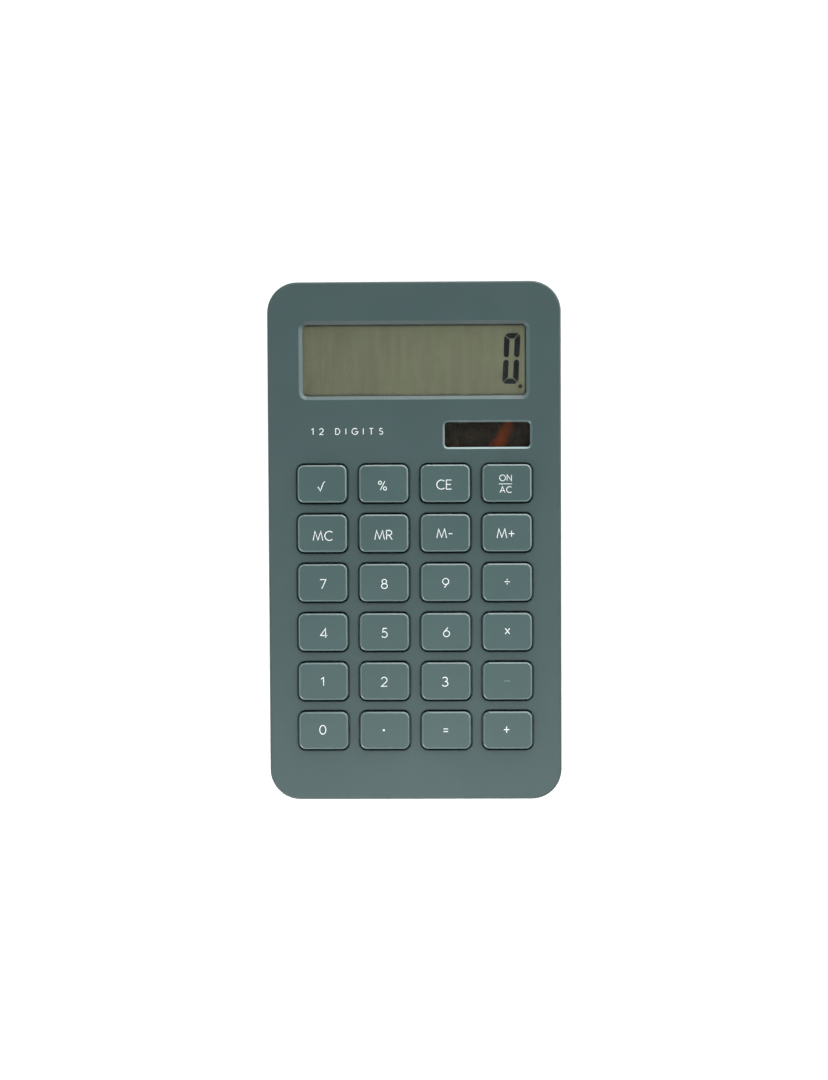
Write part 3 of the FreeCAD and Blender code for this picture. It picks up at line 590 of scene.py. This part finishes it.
def clear_sheet(name, tint, rough):
    """Clear acrylic that lets the lamps through to what lies behind it."""
    s = Shader(name)
    s.set(Base_Color=(*tint, 1.0), Transmission_Weight=1.0, IOR=1.49)
    s.roughness(s.remap(s.noise(6.0, 3.0), 0.4, 0.7, rough, rough + 0.05))
    s.bump(s.noise(9.0, 2.0), 0.001)
    through = s.tree.nodes.new("ShaderNodeBsdfTransparent")
    through.inputs["Color"].default_value = (*tint, 1.0)
    mixer = s.tree.nodes.new("ShaderNodeMixShader")
    s.link(s.tree.nodes.new("ShaderNodeLightPath").outputs["Is Shadow Ray"], mixer.inputs["Fac"])
    s.link(s.main.outputs["BSDF"], mixer.inputs[1])
    s.link(through.outputs["BSDF"], mixer.inputs[2])
    s.link(mixer.outputs["Shader"], s.output.inputs["Surface"])
    return s.material


paint([NODES["lcd_window"]], clear_sheet("display_window_clear", (0.97, 0.98, 0.97), 0.02))
paint([NODES["solar_window"]], clear_sheet("solar_window_clear", (0.95, 0.95, 0.95), 0.02))
paint([NODES["lcd_front_polariser"]], display_film("display_film", 1.0))


# ---- Solar cell ----

SHEEN_OFFSET, SHEEN_LEAN = 5.4, 0.48        # how far right of the middle the sheen lies, and its slope
SHEEN_HALF_LOW, SHEEN_HALF_HIGH = 4.0, 1.9  # half its width at the bottom and at the top


def solar_glass():
    """Dark glass over thin silicon, with a slanting orange sheen."""
    s = Shader("solar_cell_glass")
    low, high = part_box("solar_cell")
    middle = (low + high) / 2
    place = s.place()
    lean = s.times(s.math("SUBTRACT", place["Y"], middle.y), SHEEN_LEAN)
    wobble = s.times(s.math("SUBTRACT", s.noise(5.0, 3.0), 0.5), 2.2 * MM)
    off_centre = s.math("SUBTRACT", s.math("SUBTRACT", place["X"], middle.x + SHEEN_OFFSET * MM), lean)
    off_centre = s.math("ABSOLUTE", s.math("ADD", off_centre, wobble))
    half_width = s.remap(place["Y"], low.y, high.y, SHEEN_HALF_LOW * MM, SHEEN_HALF_HIGH * MM)
    sheen = s.math("SUBTRACT", 1.0, s.math("DIVIDE", off_centre, half_width), clamp=True)
    sheen = s.times(sheen, s.remap(place["Y"], low.y, high.y, 1.25, 0.7))
    dark = s.mix(s.remap(s.noise(3.0, 4.0), 0.35, 0.65), (0.013, 0.0115, 0.0085), (0.018, 0.015, 0.011))
    s.colour(s.mix(s.math("MINIMUM", sheen, 1.0), dark, (0.095, 0.021, 0.004)))
    s.roughness(s.remap(s.noise(2.0, 3.0), 0.3, 0.7, 0.16, 0.26))
    s.bump(s.noise(2.5, 2.0), 0.001)
    return s.material


paint([NODES["solar_cell"]], solar_glass())


# ---- What lies inside ----

def textured(name, dark, light, size, rough, depth, metal=0.0, stretch=None):
    """A material for an inner piece: two tones, an uneven gloss and a little relief."""
    s = Shader(name)
    where = s.stretched(stretch) if stretch else None
    s.colour(s.mix(s.remap(s.noise(size, 4.0, 0.6, where), 0.3, 0.7), dark, light))
    s.roughness(s.remap(s.noise(size * 0.6, 3.0, 0.6, where), 0.3, 0.7, rough - 0.08, rough + 0.08))
    s.bump(s.noise(size * 0.3, 2.0, 0.5, where), depth)
    s.set(Metallic=metal)
    return s.material


INNER = {
    "lcd_front_glass": textured("glass_front", (0.30, 0.36, 0.33), (0.38, 0.44, 0.41), 6.0, 0.15, 0.001),
    "lcd_rear_glass": textured("glass_rear", (0.28, 0.34, 0.31), (0.36, 0.42, 0.39), 6.0, 0.15, 0.001),
    "lcd_reflector": textured("reflector_pearl", (0.36, 0.38, 0.34), (0.50, 0.52, 0.47), 0.4, 0.35, 0.004,
                              0.6),
    "lcd_contact_strip": textured("contact_rubber", (0.012, 0.012, 0.013), (0.10, 0.10, 0.11), 0.5, 0.7, 0.01,
                                  stretch=(1.0, 0.1, 0.1)),
    "lcd_foam_pad": textured("foam", (0.010, 0.010, 0.010), (0.045, 0.045, 0.045), 0.7, 0.9, 0.15),
    "solar_lead_positive": textured("lead_red", (0.40, 0.012, 0.010), (0.55, 0.025, 0.018), 2.0, 0.35, 0.01),
    "solar_lead_negative": textured("lead_black", (0.008, 0.008, 0.008), (0.020, 0.020, 0.020), 2.0, 0.35,
                                    0.01),
    "solder_joints": textured("solder", (0.45, 0.45, 0.46), (0.72, 0.72, 0.74), 0.5, 0.25, 0.01, 1.0),
    "chip_encapsulation": textured("epoxy", (0.006, 0.006, 0.006), (0.016, 0.016, 0.017), 1.5, 0.28, 0.03),
    "board_capacitors": textured("capacitor", (0.30, 0.20, 0.10), (0.42, 0.29, 0.16), 0.6, 0.45, 0.01),
    "board_resistors": textured("resistor", (0.008, 0.008, 0.010), (0.030, 0.030, 0.034), 0.5, 0.4, 0.008),
    "battery_spring_negative": textured("contact_plate", (0.50, 0.47, 0.40), (0.66, 0.63, 0.56), 1.0, 0.3,
                                        0.004, 1.0, (0.15, 1.0, 1.0)),
    "button_cell": textured("cell_steel", (0.52, 0.53, 0.54), (0.70, 0.71, 0.72), 1.2, 0.3, 0.004, 1.0,
                            (1.0, 1.0, 0.2)),
    "case_screws": textured("screw_zinc", (0.38, 0.39, 0.41), (0.62, 0.63, 0.66), 0.6, 0.35, 0.01, 1.0),
    "foot_front_left": textured("foot_rubber", (0.012, 0.012, 0.013), (0.030, 0.030, 0.031), 0.8, 0.8, 0.02),
}
INNER["battery_contact_positive"] = INNER["battery_spring_negative"]
INNER["board_screws"] = INNER["case_screws"]
for node in ("foot_front_right", "foot_back_left", "foot_back_right"):
    INNER[node] = INNER["foot_front_left"]
for node, material in INNER.items():
    paint([NODES[node]], material)
    smooth(NODES[node], SHARP)


def laminate():
    """Green circuit board with paler tracks."""
    s = Shader("board_laminate")
    tracks = s.node("TexBrick", Vector=s.coords, Scale=1.0, Brick_Width=11.5 * MM, Row_Height=2.2 * MM,
                    Mortar_Size=0.35 * MM, Mortar_Smooth=0.1).outputs["Fac"]
    tone = s.mix(s.remap(s.noise(1.5, 4.0), 0.3, 0.7), (0.030, 0.085, 0.035), (0.045, 0.115, 0.050))
    s.colour(s.mix(tracks, tone, (0.085, 0.19, 0.085)))
    s.roughness(s.remap(s.noise(4.0, 3.0), 0.3, 0.7, 0.25, 0.4))
    s.bump(tracks, 0.03)
    return s.material


paint([NODES["main_board"]], laminate())


# ---- Rubber dome sheet: a base, and one dome under each key ----


def silicone_rubber():
    s = Shader("silicone")
    s.colour(s.mix(s.remap(s.noise(5.0, 3.0), 0.3, 0.7), (0.42, 0.43, 0.42), (0.52, 0.53, 0.51)))
    s.roughness(s.remap(s.noise(1.0, 3.0), 0.3, 0.7, 0.42, 0.58))
    s.bump(s.noise(0.4, 3.0), 0.01)
    s.set(Subsurface_Weight=0.25, Subsurface_Scale=0.001)
    return s.material


silicone = silicone_rubber()
sheet_low, sheet_high = (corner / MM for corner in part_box("dome_sheet"))
SHEET_T = 0.7
ROUND_STEPS = 40
HOLE_R = 4.72           # a hair wider than the domes
HOLE_CELL = 4.75        # half the square cell around each hole
# Half of a dome's section: distance from its axis and height over the sheet's underside.
DOME = [(0.0, 2.6), (2.2, 2.6), (2.4, 2.4), (2.45, 2.05), (2.7, 1.95), (4.45, 0.78), (4.7, 0.5), (4.7, 0.0),
        (4.2, 0.0), (4.2, 0.55), (2.35, 1.75), (1.95, 1.80), (1.7, 1.6), (1.7, 1.2), (0.0, 1.2)]


def circle(bm, radius, x, y, z):
    turns = [2 * math.pi * i / ROUND_STEPS for i in range(ROUND_STEPS)]
    points = [(x + radius * math.cos(a), y + radius * math.sin(a)) for a in turns]
    return [bm.verts.new((px * MM, py * MM, z * MM)) for px, py in points]


def turned(bm, profile, x, y, z):
    """A closed solid of revolution from a profile that starts and ends on the axis."""
    rings = []
    for r, h in profile:
        tip = r == 0.0
        rings.append([bm.verts.new((x * MM, y * MM, (z + h) * MM))] if tip else circle(bm, r, x, y, z + h))
    for a, b in zip(rings, rings[1:]):
        for i in range(ROUND_STEPS):
            j = (i + 1) % ROUND_STEPS
            corners = [a[i % len(a)], a[j % len(a)], b[j % len(b)], b[i % len(b)]]
            bm.faces.new(list(dict.fromkeys(corners)))


for node in KEY_NODES:
    x, y, _ = key_middle(node)
    bm = bmesh.new()
    turned(bm, DOME, x, y, sheet_low.z)
    dome = mesh_object("dome_" + node[4:], bm, silicone, "case")
    smooth(dome, 40.0)
    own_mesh(dome)

bm = bmesh.new()
xs = sorted({round(key_middle(n)[0], 3) for n in KEY_NODES})
ys = sorted({round(key_middle(n)[1], 3) for n in KEY_NODES})


def grid_lines(low, centres, high):
    """The sheet's edges, and both sides of each row of holes."""
    marks = [low]
    for c in centres:
        marks += [c - HOLE_CELL, c + HOLE_CELL]
    return marks + [high]


gx = grid_lines(sheet_low.x, xs, sheet_high.x)
gy = grid_lines(sheet_low.y, ys, sheet_high.y)
levels = (sheet_low.z, sheet_low.z + SHEET_T)
grid = {}
for i, px in enumerate(gx):
    for j, py in enumerate(gy):
        for k, pz in enumerate(levels):
            grid[i, j, k] = bm.verts.new((px * MM, py * MM, pz * MM))


def is_inside(i, j):
    return 0 <= i < len(gx) - 1 and 0 <= j < len(gy) - 1


def round_hole(i, j):
    """Fills the grid's cell, apart from a round hole in its middle."""
    corners = [(i + 1, j + 1), (i, j + 1), (i, j), (i + 1, j)]
    rims = [circle(bm, HOLE_R, (gx[i] + gx[i + 1]) / 2, (gy[j] + gy[j + 1]) / 2, z) for z in levels]
    for n in range(ROUND_STEPS):
        m = (n + 1) % ROUND_STEPS
        corner = corners[n * 4 // ROUND_STEPS]
        for k in (0, 1):
            bm.faces.new((grid[corner + (k,)], rims[k][n], rims[k][m]))
        bm.faces.new((rims[0][n], rims[0][m], rims[1][m], rims[1][n]))
    for quarter in range(4):
        n = (quarter + 1) * ROUND_STEPS // 4 % ROUND_STEPS
        for k in (0, 1):
            bm.faces.new((grid[corners[quarter] + (k,)], grid[corners[(quarter + 1) % 4] + (k,)], rims[k][n]))


for i in range(len(gx) - 1):
    for j in range(len(gy) - 1):
        if i % 2 == 1 and j % 2 == 1:
            round_hole(i, j)
        else:
            for k in (0, 1):
                bm.faces.new((grid[i, j, k], grid[i + 1, j, k], grid[i + 1, j + 1, k], grid[i, j + 1, k]))
        for di, dj, a, b in ((-1, 0, (i, j), (i, j + 1)), (1, 0, (i + 1, j), (i + 1, j + 1)),
                             (0, -1, (i, j), (i + 1, j)), (0, 1, (i, j + 1), (i + 1, j + 1))):
            if not is_inside(i + di, j + dj):
                bm.faces.new((grid[a + (0,)], grid[b + (0,)], grid[b + (1,)], grid[a + (1,)]))
base_sheet = mesh_object("dome_sheet_base", bm, silicone, "case")
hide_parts("dome_sheet")


# ---- Floor and light ----

bm = bmesh.new()
bmesh.ops.create_grid(bm, x_segments=2, y_segments=2, size=3.0)     # metres
floor_mesh = bpy.data.meshes.new("floor")
bm.to_mesh(floor_mesh)
bm.free()
floor = bpy.data.objects.new("floor", floor_mesh)
bpy.context.scene.collection.objects.link(floor)
s = Shader("floor_white")
s.colour(s.mix(s.noise(200.0, 2.0), (0.92, 0.92, 0.92), (0.95, 0.95, 0.95)))
s.set(Roughness=0.9, Emission_Color=(1.0, 1.0, 1.0, 1.0), Emission_Strength=0.55)  # a light table
floor_mesh.materials.append(s.material)


def softbox(name, azimuth, elevation, power, size=0.6, distance=1.1):
    """A square lamp aimed at the object, in metres. Azimuth 0 is +X and 90 is +Y."""
    light = bpy.data.lights.new(name, "AREA")
    light.shape = "SQUARE"
    light.size = size
    light.energy = power
    lamp = bpy.data.objects.new(name, light)
    bpy.context.scene.collection.objects.link(lamp)
    around, up = math.radians(azimuth), math.radians(elevation)
    level = math.cos(up)
    lamp.location = Vector((level * math.cos(around), level * math.sin(around), math.sin(up))) * distance
    lamp.rotation_mode = "QUATERNION"
    lamp.rotation_quaternion = (-lamp.location).to_track_quat("-Z", "Y")


softbox("light_right", 10, 15, 3.4)
softbox("light_back_right", 45, 15, 6.0)
softbox("light_back", 80, 15, 6.5)
softbox("light_back_left", 135, 15, 2.3)
softbox("light_front_left", 225, 15, 4.9)
softbox("light_front_near", 270, 50, 1.7, size=0.3, distance=0.5)

# The studio: pale walls low down, and a dark opening overhead that the camera looks through.
world = bpy.data.worlds.new("studio")
bpy.context.scene.world = world
world.use_nodes = True
sky = world.node_tree
direction = sky.nodes.new("ShaderNodeSeparateXYZ")
sky.links.new(sky.nodes.new("ShaderNodeTexCoord").outputs["Generated"], direction.inputs[0])
walls = sky.nodes.new("ShaderNodeMapRange")
for socket, value in (("From Min", 0.22), ("From Max", 0.38), ("To Min", 2.17), ("To Max", 0.03)):
    walls.inputs[socket].default_value = value
sky.links.new(direction.outputs["Z"], walls.inputs["Value"])
background = next(n for n in sky.nodes if n.type == "BACKGROUND")
background.inputs["Color"].default_value = (1.0, 1.0, 1.0, 1.0)
sky.links.new(walls.outputs["Result"], background.inputs["Strength"])
bpy.context.scene.view_settings.view_transform = "Standard"
